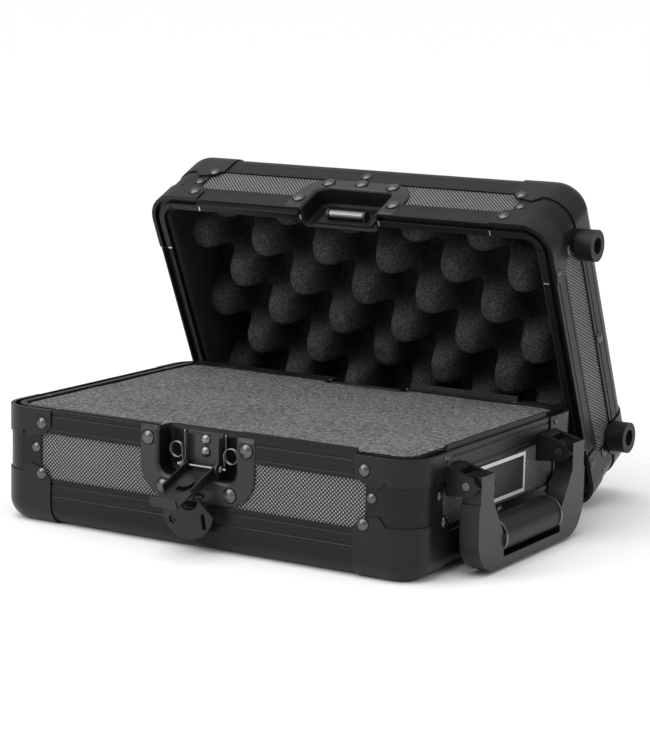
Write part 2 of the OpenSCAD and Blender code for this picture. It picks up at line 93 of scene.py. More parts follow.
def make_stage():
    me = bpy.data.meshes.new("floor")
    me.from_pydata([(-60, -60, 0), (60, -60, 0), (60, 60, 0), (-60, 60, 0)], [], [(0, 1, 2, 3)])
    floor = bpy.data.objects.new("floor", me)
    scene.collection.objects.link(floor)
    m = bpy.data.materials.new("floor")
    m.use_nodes = True
    b = m.node_tree.nodes["Principled BSDF"]
    b.inputs["Base Color"].default_value = (0.9, 0.9, 0.9, 1)
    b.inputs["Roughness"].default_value = 0.9
    b.inputs["Specular IOR Level"].default_value = 0.1
    me.materials.append(m)

    world = bpy.data.worlds.new("studio")
    scene.world = world
    world.use_nodes = True
    nt = world.node_tree
    bg = nt.nodes["Background"]
    co = nt.nodes.new("ShaderNodeTexCoord")
    sep = nt.nodes.new("ShaderNodeSeparateXYZ")
    nt.links.new(co.outputs["Generated"], sep.inputs[0])
    ramp = nt.nodes.new("ShaderNodeValToRGB")
    for stop, at, grey in zip(ramp.color_ramp.elements, (0.0, 0.75), (0.32, 1.0)):
        stop.position, stop.color = at, (grey, grey, grey, 1)
    nt.links.new(sep.outputs["Z"], ramp.inputs[0])
    nt.links.new(ramp.outputs[0], bg.inputs["Color"])
    bg.inputs["Strength"].default_value = 0.75

    def sun(name, az, el, power, angle):
        d = bpy.data.lights.new(name, "SUN")
        d.energy, d.angle = power, math.radians(angle)
        o = bpy.data.objects.new(name, d)
        scene.collection.objects.link(o)
        a, e = math.radians(az), math.radians(el)
        to = Vector((math.sin(a) * math.cos(e), -math.cos(a) * math.cos(e), math.sin(e)))
        o.rotation_mode = "QUATERNION"
        o.rotation_quaternion = to.to_track_quat("Z", "Y")

    def area(name, where, at, size, power):
        d = bpy.data.lights.new(name, "AREA")
        d.energy, d.size = power, size
        o = bpy.data.objects.new(name, d)
        scene.collection.objects.link(o)
        o.location = where
        o.rotation_mode = "QUATERNION"
        o.rotation_quaternion = (Vector(where) - Vector(at)).to_track_quat("Z", "Y")

    sun("key", -20, 62, 1.7, 60)
    area("fill_front", (-1.1, -1.7, 0.9), (0, 0, 0.05), 1.0, 16)
    area("fill_side", (1.9, -0.4, 1.0), (0.1, 0, 0.05), 0.8, 5)
    scene.view_settings.view_transform = "Standard"
    scene.view_settings.look = "None"


make_camera()
make_stage()


# ---------------------------------------------------------------- materials
class Mat:
    def __init__(self, name):
        self.m = bpy.data.materials.new(name)
        self.m.use_nodes = True
        self.t = self.m.node_tree
        self.b = self.t.nodes["Principled BSDF"]

    def new(self, kind, **props):
        n = self.t.nodes.new(kind)
        for k, v in props.items():
            setattr(n, k, v)
        return n

    def put(self, socket, v):
        if isinstance(v, bpy.types.NodeSocket):
            self.t.links.new(v, socket)
        else:
            socket.default_value = v

    def math(self, op, a, b=0.0, c=0.0, clamp=False):
        n = self.new("ShaderNodeMath", operation=op, use_clamp=clamp)
        for i, v in enumerate((a, b, c)):
            self.put(n.inputs[i], v)
        return n.outputs[0]

    def smooth(self, v, lo, hi, to_lo=0.0, to_hi=1.0):
        n = self.new("ShaderNodeMapRange", interpolation_type="SMOOTHSTEP")
        self.put(n.inputs["Value"], v)
        for k, x in (("From Min", lo), ("From Max", hi), ("To Min", to_lo), ("To Max", to_hi)):
            n.inputs[k].default_value = x
        return n.outputs["Result"]

    def mix(self, fac, a, b):
        n = self.new("ShaderNodeMix", data_type="RGBA")
        self.put(n.inputs[0], fac)
        for s, v in ((n.inputs[6], a), (n.inputs[7], b)):
            self.put(s, (*v, 1.0) if isinstance(v, tuple) else v)
        return n.outputs[2]

    def coords(self, turn=0.0, scale=(1, 1, 1), source="Object"):
        co = self.new("ShaderNodeTexCoord")
        mp = self.new("ShaderNodeMapping", vector_type="POINT")
        self.t.links.new(co.outputs[source], mp.inputs[0])
        mp.inputs["Rotation"].default_value = (turn, 0, 0)
        mp.inputs["Scale"].default_value = scale
        return mp.outputs[0]

    def noise(self, vec, scale, detail=3.0, rough=0.5):
        n = self.new("ShaderNodeTexNoise")
        self.t.links.new(vec, n.inputs["Vector"])
        n.inputs["Scale"].default_value = scale
        n.inputs["Detail"].default_value = detail
        n.inputs["Roughness"].default_value = rough
        return n.outputs["Fac"]

    def voronoi(self, vec, scale, feature="F1"):
        n = self.new("ShaderNodeTexVoronoi", feature=feature)
        self.t.links.new(vec, n.inputs["Vector"])
        n.inputs["Scale"].default_value = scale
        return n.outputs["Distance"]

    def bump(self, height, strength, distance, under=None):
        n = self.new("ShaderNodeBump")
        self.put(n.inputs["Height"], height)
        n.inputs["Strength"].default_value = strength
        n.inputs["Distance"].default_value = distance
        if under is not None:
            self.t.links.new(under, n.inputs["Normal"])
        return n.outputs[0]

    def done(self, color, rough, normal=None, metal=0.0, spec=0.5, coat=0.0, sheen=0.0):
        for name, v in (("Base Color", color), ("Roughness", rough), ("Normal", normal)):
            if v is not None:
                self.put(self.b.inputs[name], (*v, 1.0) if isinstance(v, tuple) else v)
        self.b.inputs["Metallic"].default_value = metal
        self.b.inputs["Specular IOR Level"].default_value = spec
        self.b.inputs["Coat Weight"].default_value = coat
        self.b.inputs["Coat Roughness"].default_value = 0.25
        self.b.inputs["Sheen Weight"].default_value = sheen
        self.b.inputs["Sheen Roughness"].default_value = 0.6
        return self.m


def laminate():
    """Black plastic laminate embossed with a fine grid of small diamonds, their raised tops
    coloured pale: partly their own colour, partly painted highlight.
    """
    w = Mat("laminate")
    uv = w.coords(source="UV")
    sep = w.new("ShaderNodeSeparateXYZ")
    w.t.links.new(uv, sep.inputs[0])
    s, z = sep.outputs[0], sep.outputs[1]
    pitch = 2.6
    a = w.math("MULTIPLY", w.math("ADD", s, z), 1 / pitch)
    b = w.math("MULTIPLY", w.math("SUBTRACT", s, z), 1 / pitch)
    da = w.math("ABSOLUTE", w.math("SUBTRACT", w.math("FRACT", a), 0.5))
    db = w.math("ABSOLUTE", w.math("SUBTRACT", w.math("FRACT", b), 0.5))
    far = w.math("MAXIMUM", da, db)
    top = w.smooth(far, 0.16, 0.40, 1.0, 0.0)
    speck = w.noise(w.coords(), 900.0, 2.0)
    cloud = w.noise(w.coords(), 14.0, 3.0)
    # pale colour on the raised diamond tops: partly the laminate's own colour, partly painted
    # highlight
    pale = w.mix(speck, (0.20, 0.20, 0.203), (0.46, 0.46, 0.465))
    dark = w.mix(cloud, (0.003, 0.003, 0.0032), (0.007, 0.007, 0.0072))
    col = w.mix(w.math("MULTIPLY", top, w.smooth(cloud, 0.2, 0.8, 0.80, 1.0)), dark, pale)
    n = w.bump(top, 0.8, 0.00035)
    n = w.bump(speck, 0.25, 0.00008, n)
    return w.done(col, w.smooth(top, 0, 1, 0.55, 0.36), n, spec=0.28)


def extrusion(name, turn):
    """Black coated aluminium with faint drawing lines along its length."""
    w = Mat(name)
    lines = w.noise(w.coords(turn, (2.0, 2.0, 700.0)), 1.0, 4.0, 0.7)
    fine = w.noise(w.coords(turn, (60.0, 60.0, 5200.0)), 1.0, 2.0)
    cloud = w.noise(w.coords(turn), 9.0, 4.0)
    col = w.mix(cloud, (0.0035, 0.0035, 0.0037), (0.0075, 0.0075, 0.0078))
    col = w.mix(w.smooth(lines, 0.52, 0.74, 0.0, 0.5), col, (0.017, 0.017, 0.017))
    rough = w.math("ADD", w.smooth(lines, 0.3, 0.7, 0.24, 0.36), w.math("MULTIPLY", cloud, 0.08))
    n = w.bump(lines, 0.25, 0.00006)
    n = w.bump(fine, 0.2, 0.00002, n)
    return w.done(col, rough, n, spec=0.22)


def coated_steel(name, low=0.005, high=0.011, rough=0.34, spec=0.26):
    """Pressed steel with a satin black coat: orange peel and faint scuffs."""
    w = Mat(name)
    peel = w.noise(w.coords(), 1500.0, 2.0)
    cloud = w.noise(w.coords(), 22.0, 5.0, 0.6)
    scuff = w.noise(w.coords(scale=(900.0, 80.0, 300.0)), 1.0, 3.0, 0.7)
    col = w.mix(cloud, (low,) * 3, (high,) * 3)
    col = w.mix(w.smooth(scuff, 0.66, 0.80, 0.0, 0.3), col, (0.03, 0.03, 0.03))
    r = w.math("ADD", w.math("MULTIPLY", cloud, 0.16), rough - 0.08)
    n = w.bump(peel, 0.18, 0.00005)
    return w.done(col, r, n, spec=spec)


def metal(name, low, high, rough, grain=800.0):
    w = Mat(name)
    cloud = w.noise(w.coords(), 60.0, 4.0)
    fine = w.noise(w.coords(), grain, 3.0, 0.6)
    col = w.mix(cloud, low, high)
    r = w.math("ADD", w.math("MULTIPLY", cloud, 0.18), rough - 0.09)
    return w.done(col, r, w.bump(fine, 0.15, 0.00004), metal=1.0)


def foam(name, low, high, cell, rough=0.95, depth=0.0006, pale=0.0, painted_valley_shade=False):
    """Open-cell foam: fine dark pores between paler cell walls, with a few bright grains."""
    w = Mat(name)
    grain = w.noise(w.coords(), cell, 4.0, 0.8)
    grit = w.noise(w.coords(), cell * 2.1, 2.0, 0.6)
    pores = w.voronoi(w.coords(), cell * 0.9)
    cloud = w.noise(w.coords(), 16.0, 3.0)
    h = w.math("ADD", w.smooth(grain, 0.40, 0.60, 0.0, 0.68), w.smooth(pores, 0.05, 0.5, 0.0, 0.22))
    h = w.math("ADD", h, w.math("MULTIPLY", grit, 0.18))
    h = w.math("ADD", h, w.smooth(cloud, 0.3, 0.7, -0.05, 0.05))
    col = w.mix(w.math("MULTIPLY", h, 1.0, clamp=True), low, high)
    if pale:
        bright = tuple(min(1.0, c * 2.6) for c in high)
        col = w.mix(w.smooth(grit, 0.62, 0.74, 0.0, pale), col, bright)
    # when asked, the colour darkens toward the foam's low valleys by a stored height: painted shade
    # between the lobes
    if painted_valley_shade:
        at = w.new("ShaderNodeAttribute", attribute_name="height_for_valley_shade")
        col = w.mix(w.smooth(at.outputs["Fac"], 0.0, 1.0, 0.72, 0.0), col, (0.0015, 0.0015, 0.0015))
    n = w.bump(h, 0.8, depth)
    return w.done(col, rough, n, spec=0.12)


def rubber(name, low=0.005, high=0.010, rough=0.46):
    w = Mat(name)
    grain = w.noise(w.coords(), 1800.0, 3.0, 0.7)
    cloud = w.noise(w.coords(), 30.0, 4.0)
    dust = w.noise(w.coords(), 240.0, 5.0, 0.7)
    col = w.mix(cloud, (low,) * 3, (high,) * 3)
    col = w.mix(w.smooth(dust, 0.60, 0.78, 0.0, 0.25), col, (0.035, 0.035, 0.035))
    r = w.math("ADD", w.math("MULTIPLY", cloud, 0.14), rough - 0.07)
    return w.done(col, r, w.bump(grain, 0.25, 0.00005), spec=0.28)


def moulded(name, low=0.004, high=0.008, rough=0.30):
    """Moulded plastic with a fine spark-eroded grain."""
    w = Mat(name)
    grain = w.voronoi(w.coords(), 1300.0)
    cloud = w.noise(w.coords(), 25.0, 4.0)
    col = w.mix(cloud, (low,) * 3, (high,) * 3)
    r = w.math("ADD", w.math("MULTIPLY", cloud, 0.12), rough - 0.06)
    return w.done(col, r, w.bump(grain, 0.22, 0.00004), spec=0.34)


def printed(name, color, rough=0.4):
    w = Mat(name)
    grain = w.noise(w.coords(), 1200.0, 2.0)
    cloud = w.noise(w.coords(), 40.0, 3.0)
    col = w.mix(cloud, tuple(c * 0.82 for c in color), color)
    return w.done(col, w.math("ADD", w.math("MULTIPLY", cloud, 0.15), rough - 0.07),
                  w.bump(grain, 0.15, 0.00003), spec=0.4)


LAMINATE = laminate()
FRAME_BASE = extrusion("frame_base", 0.0)
FRAME_LID = extrusion("frame_lid", TURN)
CORNER = coated_steel("corner_steel")
LATCH = coated_steel("latch_steel", 0.006, 0.014, 0.32, 0.34)
DISH = coated_steel("dish_steel", 0.014, 0.024, 0.33, 0.34)
# darker copy of the dish steel for the recess walls and back: painted shade in the recess
DISH_WELL_PAINTED_SHADE = coated_steel("dish_well_painted_shade", 0.003, 0.006, 0.42, 0.15)
LATCH_PLATE = coated_steel("latch_plate", 0.020, 0.032, 0.34, 0.36)
RIVET = metal("rivet_steel", (0.085, 0.085, 0.087), (0.15, 0.15, 0.153), 0.32)
# lighter copy of the rivet steel for the rivet domes in the latch dishes: painted highlight
RIVET_DISH_PAINTED_HIGHLIGHT = metal("rivet_lighter_painted_highlight", (0.15, 0.15, 0.153), (0.26, 0.26, 0.265), 0.32)
BRIGHT = metal("bright_steel", (0.11, 0.11, 0.112), (0.22, 0.22, 0.223), 0.30)
RAW = metal("raw_aluminium", (0.62, 0.62, 0.63), (0.85, 0.85, 0.86), 0.35, 2500.0)
GREY_FOAM = foam("grey_foam", (0.014, 0.014, 0.014), (0.245, 0.245, 0.245), 430.0,
                 depth=0.0008, pale=0.55)
# the lid's egg-crate foam, with painted shade darkening its valleys
BLACK_FOAM = foam("black_foam", (0.012, 0.012, 0.012), (0.085, 0.085, 0.085), 560.0,
                  depth=0.0006, pale=0.4, painted_valley_shade=True)
LINER = foam("liner_foam", (0.006, 0.006, 0.006), (0.036, 0.036, 0.036), 1100.0, depth=0.0003)
PLASTIC = moulded("handle_plastic")
RUBBER = rubber("grip_rubber")
PLATE_BLACK = printed("plate_black", (0.010, 0.010, 0.0105))
PLATE_WHITE = printed("plate_white", (0.72, 0.72, 0.71))


# ---------------------------------------------------------------- mesh helpers
class Shape:
    """Vertices in mm and faces; M places what is added."""
    def __init__(self):
        self.v, self.f, self.m = [], [], []

    def add(self, verts, faces, M=None, mat=0):
        n = len(self.v)
        self.v += [M @ Vector(v) if M is not None else Vector(v) for v in verts]
        self.f += [tuple(i + n for i in f) for f in faces]
        self.m += [mat] * len(faces)
        return self

    def loft(self, loops, M=None, closed=True, cap0=True, cap1=True, mat=0):
        """Skins a list of loops that have the same number of points."""
        n = len(loops[0])
        verts = [p for lp in loops for p in lp]
        faces = []
        last = n if closed else n - 1
        for i in range(len(loops) - 1):
            for j in range(last):
                a, b = i * n + j, i * n + (j + 1) % n
                faces.append((a, b, b + n, a + n))
        if cap0:
            faces.append(tuple(reversed(range(n))))
        if cap1:
            faces.append(tuple(range((len(loops) - 1) * n, len(loops) * n)))
        return self.add(verts, faces, M, mat)

    def prism(self, section, s0, s1, M=None, mat=0):
        """A (inward, up) section run along a wall from s0 to s1."""
        return self.loft([[(s, u, z) for u, z in section] for s in (s0, s1)], M, mat=mat)

    def lathe(self, profile, M=None, steps=40, mat=0):
        """(radius, height) profile turned about Z; radius 0 at an end closes it."""
        loops = [[(r * math.cos(2 * math.pi * i / steps), r * math.sin(2 * math.pi * i / steps), z)
                  for i in range(steps)] for r, z in profile]
        return self.loft(loops, M, mat=mat)

    def tube(self, points, r, M=None, steps=10, mat=0):
        pts = [Vector(p) for p in points]
        t0 = (pts[1] - pts[0]).normalized()
        side = t0.orthogonal().normalized()
        loops = []
        for i, p in enumerate(pts):
            t = (pts[min(i + 1, len(pts) - 1)] - pts[max(i - 1, 0)]).normalized()
            side = (side - t * side.dot(t)).normalized()
            up = t.cross(side)
            loops.append([p + (side * math.cos(2 * math.pi * j / steps)
                               + up * math.sin(2 * math.pi * j / steps)) * r for j in range(steps)])
        return self.loft(loops, M, mat=mat)

    def plate(self, outline, u0, u1, M=None, mat=0):
        """A (along, up) outline given thickness from depth u0 to u1."""
        return self.loft([[(s, u, z) for s, z in outline] for u in (u0, u1)], M, mat=mat)


def rounded(pts, radii, steps=6):
    """Rounds the corners of a closed (a, b) outline."""
    out = []
    n = len(pts)
    for i in range(n):
        p, q, r = Vector(pts[i - 1]), Vector(pts[i]), Vector(pts[(i + 1) % n])
        rad = radii[i] if isinstance(radii, (list, tuple)) else radii
        if rad <= 0:
            out.append(tuple(q))
            continue
        a, b = (p - q).normalized(), (r - q).normalized()
        half = math.acos(max(-1, min(1, a.dot(b)))) / 2
        cut = min(rad / math.tan(half), (p - q).length * 0.49, (r - q).length * 0.49)
        rr = cut * math.tan(half)
        centre = q + (a + b).normalized() * (rr / math.sin(half))
        v0, v1 = q + a * cut - centre, q + b * cut - centre
        ang = v0.angle_signed(v1)
        for k in range(steps + 1):
            t = -ang * k / steps
            c, s = math.cos(t), math.sin(t)
            out.append((centre.x + v0.x * c - v0.y * s, centre.y + v0.x * s + v0.y * c))
    return out


def make(name, shape, body, mats, M=MM, replaces=(), bevel=0.0, segments=2,
         angle=35, flat=False):
    me = bpy.data.meshes.new(name)
    me.from_pydata([M @ v for v in shape.v], [], shape.f)
    mats = mats if isinstance(mats, (list, tuple)) else [mats]
    for m in mats:
        me.materials.append(m)
    for p, i in zip(me.polygons, shape.m):
        p.material_index = i
        p.use_smooth = not flat
    bm = bmesh.new()
    bm.from_mesh(me)
    bmesh.ops.remove_doubles(bm, verts=bm.verts, dist=1e-7)
    bmesh.ops.recalc_face_normals(bm, faces=bm.faces)
    bm.to_mesh(me)
    bm.free()
    ob = bpy.data.objects.new(name, me)
    scene.collection.objects.link(ob)
    soften(ob, bevel, segments, angle)
    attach(ob, body)
    if replaces:
        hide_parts(*replaces)
    return ob


def soften(ob, bevel, segments=2, angle=35):
    """Real rounded edges, where a width is given."""
    if bevel:
        b = ob.modifiers.new("edges", "BEVEL")
        b.width, b.segments, b.limit_method = bevel * 0.001, segments, "ANGLE"
        b.angle_limit, b.harden_normals = math.radians(angle), True
        b.use_clamp_overlap = True


def dress(name, mat, bevel=0.3, segments=2, angle=35, flat=False):
    """A CAD node that keeps its shape gets its finish and rounded edges."""
    ob = nodes[name]
    ob.data.materials.clear()
    ob.data.materials.append(mat)
    w = ob.modifiers.new("weld", "WELD")
    w.merge_threshold = 1e-6
    for p in ob.data.polygons:
        p.use_smooth = not flat
    if ob.data.has_custom_normals:
        with bpy.context.temp_override(object=ob, active_object=ob, selected_objects=[ob]):
            bpy.ops.mesh.customdata_custom_splitnormals_clear()
    soften(ob, bevel, segments, angle)
    return ob


# ---------------------------------------------------------------- CAD nodes that stay
for n in ("base_rim_corners", "lid_rim_corners", "base_caps", "lid_caps", "handle_brackets"):
    dress(n, CORNER, 0.35)
for n in ("base_posts",):
    dress(n, FRAME_BASE, 0.2)
for n in ("lid_posts",):
    dress(n, FRAME_LID, 0.2)
for n in ("base_rivets", "lid_rivets"):
    dress(n, RIVET, 0)
for n in ("front", "rear"):
    for part in ("latch_body", "spindle", "hook", "wing", "keeper"):
        dress(f"{n}_{part}", LATCH, 0.2, flat=part in ("hook", "wing", "keeper"))
    dress(f"{n}_latch_pin", BRIGHT, 0.2)
    dress(f"{n}_roller", BRIGHT, 0.3)
    dress(f"{n}_latch_base", LATCH_PLATE, 0.2)
    dress(f"{n}_foot", RUBBER, 1.6, 4)
dress("handle_pins", RIVET, 0.6, 3)
dress("handle_arms", PLASTIC, 3.4, 5)
dress("handle_collars", BRIGHT, 0.5)
dress("handle_grip", RUBBER, 0.8)
dress("nameplate", PLATE_BLACK, 0.2)


# ---------------------------------------------------------------- laminated panels
def panel(name, k, h, open_h, body, M):
    s = HALF[(k + 1) % 4] - CORNER_R
    if open_h:
        a, b = DISH_HALF + 2, h - open_h - 2
        out = [(-s, 12), (s, 12), (s, h - RIM_CAP), (a, h - RIM_CAP), (a, b), (-a, b),
               (-a, h - RIM_CAP), (-s, h - RIM_CAP)]
    else:
        out = [(-s, 12), (s, 12), (s, h - RIM_CAP), (-s, h - RIM_CAP)]
    sh = Shape().plate(out, SKIN_T, SKIN_T + PANEL_T, wall(k))
    ob = make(name + "_laminate", sh, body, LAMINATE, M, [name], flat=True)
    uv = ob.data.uv_layers.new(name="grid")
    inv = (M @ wall(k)).inverted()
    for lp in ob.data.loops:
        q = inv @ ob.data.vertices[lp.vertex_index].co
        uv.data[lp.index].uv = (q.x, q.z)
    return ob


def floor_panel(name, body, M):
    l, w, r = CASE_L - 32, CASE_W - 32, 4
    out = rounded([(-l / 2, -w / 2), (l / 2, -w / 2), (l / 2, w / 2), (-l / 2, w / 2)], r)
    sh = Shape().loft([[(x, y, z) for x, y in out] for z in (0, PANEL_T)])
    ob = make(name + "_laminate", sh, body, LAMINATE, M, [name], flat=True)
    uv = ob.data.uv_layers.new(name="grid")
    inv = M.inverted()
    for lp in ob.data.loops:
        q = inv @ ob.data.vertices[lp.vertex_index].co
        uv.data[lp.index].uv = (q.x, q.y)


for half, h, body, M, op in (("base", BASE_H, "base", BASE, DISH_OPEN),
                             ("lid", LID_H, "lid", LID, LID_DISH_OPEN)):
    panel(half + "_front_panel", 0, h, op, body, M)
    panel(half + "_back_panel", 2, h, op, body, M)
    panel(half + "_left_panel", 3, h, 0, body, M)
    panel(half + "_right_panel", 1, h, 0, body, M)
floor_panel("base_bottom_panel", "base", BASE)
floor_panel("lid_top_panel", "lid", LID)


# ---------------------------------------------------------------- extruded frames
def groove(z, deep=0.45, wide=1.0):
    return [(0, z + wide / 2 + 0.3), (deep, z + wide / 2), (deep, z - wide / 2),
            (0, z - wide / 2 - 0.3)]


def edge_profile(band):
    pts = [(0, band)] + groove(band - 3.6) + groove(band - 11.0, 0.3, 0.7)
    for i in range(13):
        t = math.radians(7.5 * i)
        pts.append((EDGE_R - EDGE_R * math.cos(t), EDGE_R - EDGE_R * math.sin(t)))
    pts += [(16, 0), (16, 7), (8.2, 7), (8.2, 12), (SKIN_T, 12), (SKIN_T, band)]
    return pts


def rim_profile(h, kind):
    pts = [(SKIN_T, h - RIM_BAND), (0, h - RIM_BAND)]
    pts += list(reversed(groove(h - 12.4, 0.4, 0.8))) + list(reversed(groove(h - 3.6, 0.45, 0.9)))
    pts += [(0, h)]
    if kind == "tongue":
        pts += [(2.4, h), (2.8, h + TONGUE_H), (4.2, h + TONGUE_H), (4.6, h)]
    elif kind == "groove":
        pts += [(1.8, h), (1.8, h - TONGUE_H - 0.6), (5.2, h - TONGUE_H - 0.6), (5.2, h)]
    pts += [(RIM_IN, h), (RIM_IN, h - 14), (8.2, h - 14), (8.2, h - 6), (SKIN_T, h - 6)]
    return pts


def frames(half, h, band, body, M, mat, tongue_side):
    sh = Shape()
    for k in range(4):
        s = HALF[(k + 1) % 4] - CORNER_R
        sh.prism(edge_profile(band), -s, s, wall(k))
    make(half + "_edge_extrusions", sh, body, mat, M, [half + "_edge_frame"], 0.35)
    for side, kind in ((tongue_side, "tongue"), (-tongue_side, "groove")):
        sh = Shape()
        edge = DISH_HALF + 1.5
        a, b = (edge, HL - REACH) if side > 0 else (-(HL - REACH), -edge)
        sec = rim_profile(h, kind)
        sh.prism(sec, a, b, wall(0))
        sh.prism(sec, -b, -a, wall(2))
        w = HW - REACH
        sh.prism(sec, -w, w, wall(2 - side))
        make(f"{half}_rim_{kind}_extrusions", sh, body, mat, M, [f"{half}_rim_{kind}"],
             0.3)


def cut_ends(half, h, body, M):
    """Bare metal showing at the sawn ends of the rim bars, a fraction proud of their faces."""
    sh = Shape()
    lip = [(5.6, h - 1.6), (9.3, h - 1.6), (9.3, h + 0.02), (5.6, h + 0.02)]
    for k in (0, 2):
        for m in (-1, 1):
            for s in (DISH_HALF + 1.6, HL - REACH - 0.1):
                sh.prism(lip, m * s - 0.45, m * s + 0.45, wall(k))
    for k in (1, 3):
        for m in (-1, 1):
            s = m * (HW - REACH - 0.1)
            sh.prism(lip, s - 0.45, s + 0.45, wall(k))
    make(half + "_cut_ends", sh, body, RAW, M, bevel=0.1)


cut_ends("base", BASE_H, "base", BASE)
cut_ends("lid", LID_H, "lid", LID)
frames("base", BASE_H, BASE_BAND, "base", BASE, FRAME_BASE, 1)
frames("lid", LID_H, LID_BAND, "lid", LID, FRAME_LID, -1)


# ---------------------------------------------------------------- pressed latch dishes
def u_curve(a, b, top, r, arc=10):
    """Open U outline: half width a, floor at b, corner radius r, ends at top."""
    pts = [(-a, top + (b + r - top) * i / 5) for i in range(5)]
    for i in range(arc + 1):
        t = math.pi + math.pi / 2 * i / arc
        pts.append((-a + r + r * math.cos(t), b + r + r * math.sin(t)))
    for i in range(1, 8):
        pts.append((-a + r + (2 * a - 2 * r) * i / 8, b))
    for i in range(arc + 1):
        t = 1.5 * math.pi + math.pi / 2 * i / arc
        pts.append((a - r + r * math.cos(t), b + r + r * math.sin(t)))
    pts += [(a, b + r + (top - b - r) * i / 5) for i in range(1, 6)]
    return pts


def dish(name, k, h, band, open_h, body, M):
    z0, rc, lip, back, wide = h - open_h, 7.5, 2.4, 3.0, DISH_HALF + 13.5
    flange_z = band + 0.3
    loops = []

    def loop(a, b, r, u):
        loops.append([(s, u, z) for s, z in u_curve(a, b, h, r)])
    loop(wide, flange_z, 20, 1.1)
    loop(wide, flange_z, 20, 0.1)
    loop(wide - 0.35, flange_z + 0.35, 19.7, -0.35)
    loop(wide - 1.0, flange_z + 1.0, 19.2, -0.5)
    loop(DISH_HALF + lip + 1.2, z0 - lip - 1.2, rc + lip + 1.2, -0.5)
    loop(DISH_HALF + lip + 0.3, z0 - lip - 0.3, rc + lip, -0.75)
    for i in range(7):
        t = math.radians(15 * i)
        d = lip * (1 - math.sin(t))
        loop(DISH_HALF + d, z0 - d, rc + d, -0.8 + lip * (1 - math.cos(t)))
    loop(DISH_HALF - 0.3, z0 + 0.3, rc, DISH_DEEP - back)
    for i in range(1, 6):
        t = math.radians(18 * i)
        d = -0.3 - back * (1 - math.cos(t))
        loop(DISH_HALF + d, z0 - d, rc + d, DISH_DEEP - back + back * math.sin(t))
    sh = Shape().loft(loops, wall(k), closed=False, cap0=False, cap1=True)
    row = len(loops[0]) - 1
    # faces from the lip's last loop inward, the recess walls and back, take the darker copy:
    # painted shade
    sh.m = [1 if i >= row * 12 else 0 for i in range(len(sh.m))]
    ob = make(name + "_pressing", sh, body, [DISH, DISH_WELL_PAINTED_SHADE], M, [name])
    s = ob.modifiers.new("sheet", "SOLIDIFY")
    s.thickness, s.offset = 0.0009, -1.0
    return ob


for half, h, band, op, M in (("", BASE_H, BASE_BAND, DISH_OPEN, BASE),
                             ("lid_", LID_H, LID_BAND, LID_DISH_OPEN, LID)):
    for which, k in (("front", 0), ("rear", 2)):
        dish(f"{half}{which}_dish", k, h, band, op, "lid" if half else "base", M)


# ---------------------------------------------------------------- latch springs and small parts
def spring_path(m):
    """Leg down from the rim, a coil beside the hinge, and a small coil round the pin."""
    pts = [(m * LEG_S, COIL_U, 74 - 13 * i / 6) for i in range(6)]
    n = 76
    for i in range(n + 1):
        a = math.pi + 4 * math.pi * i / n
        pts.append((m * (LEG_S + COIL_R + COIL_R * math.cos(a)), COIL_U - 2.4 * i / n,
                    COIL_Z + COIL_R * math.sin(a)))
    pts += [(m * LEG_S, 6.8 + 1.25 * i / 5, COIL_Z - 8.6 * i / 5) for i in range(1, 5)]
    for i in range(41):
        a = 5 * math.pi * i / 40
        pts.append((m * (LEG_S - 1.5 * i / 40), PIN_U + 2.05 * math.cos(a),
                    PIN_Z - 2.05 * math.sin(a)))
    return pts


for which, k in (("front", 0), ("rear", 2)):
    sh = Shape()
    for m in (-1, 1):
        sh.tube(spring_path(m), 0.5, wall(k))
    make(which + "_wire_springs", sh, "base", BRIGHT, BASE, [which + "_springs"])
    sh = Shape()
    for z in (61.5, 69):
        sh.lathe([(3.5, 0), (3.4, 0.7), (2.8, 1.4), (1.7, 1.85), (0.6, 2.0), (0, 2.0)],
                 wall(k) @ Matrix.Translation((0, 9.8, z)) @ QUARTER_X, 28)
    make(which + "_base_rivets", sh, "base", RIVET_DISH_PAINTED_HIGHLIGHT, BASE, bevel=0)

FEET = (MM @ Matrix.Translation((0, LID_FOOT_Y, LID_LIFT)) @ Matrix.Rotation(-TURN, 4, "X")
        @ Matrix.Translation((0, -HW, 0)))
for which, m, body in (("front", -1, "lid"), ("rear", 1, "lid_foot")):
    at = (FEET @ Matrix.Translation((HL + SCREW_OUT, m * FOOT_Y, FOOT_Z))
          @ Matrix.Rotation(math.radians(90), 4, "Y"))
    sh = Shape().lathe([(4.9, 0), (4.9, 0.9), (4.2, 1.6), (2.6, 2.0), (2.4, 1.2), (0, 1.2)],
                       Matrix.Identity(4), 32)
    make(which + "_foot_screw", sh, body, RIVET, at, bevel=0.1)


# ---------------------------------------------------------------- foam
def pick_foam():
    """Flat block with softly rounded cut edges and a slightly uneven top, open round the dishes."""
    src = nodes["pick_foam"]
    ob = bpy.data.objects.new("base_foam_block", src.data.copy())
    scene.collection.objects.link(ob)
    r = ob.modifiers.new("remesh", "REMESH")
    r.mode, r.voxel_size, r.adaptivity = "VOXEL", 0.0022, 0.0
    dg = bpy.context.evaluated_depsgraph_get()
    me = bpy.data.meshes.new_from_object(ob.evaluated_get(dg))
    ob.modifiers.clear()
    ob.data = me
    for v in me.vertices:
        c = v.co
        w = noise.noise(c * 45) * 0.35 + noise.noise(c * 210) * 0.22
        v.co = c + v.normal * 0.001 * (w - 0.5)
    me.materials.clear()
    me.materials.append(GREY_FOAM)
    for p in me.polygons:
        p.use_smooth = True
        p.material_index = 0
    s = ob.modifiers.new("smooth", "SMOOTH")
    s.factor, s.iterations = 0.5, 3
    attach(ob, "base")
    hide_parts("pick_foam")


def ease(near, edge):
    """1 inside a zone (near <= 0), falling smoothly to 0 at a distance of edge."""
    t = max(0.0, min(1.0, (edge - near) / edge))
    return t * t * (3 - 2 * t)


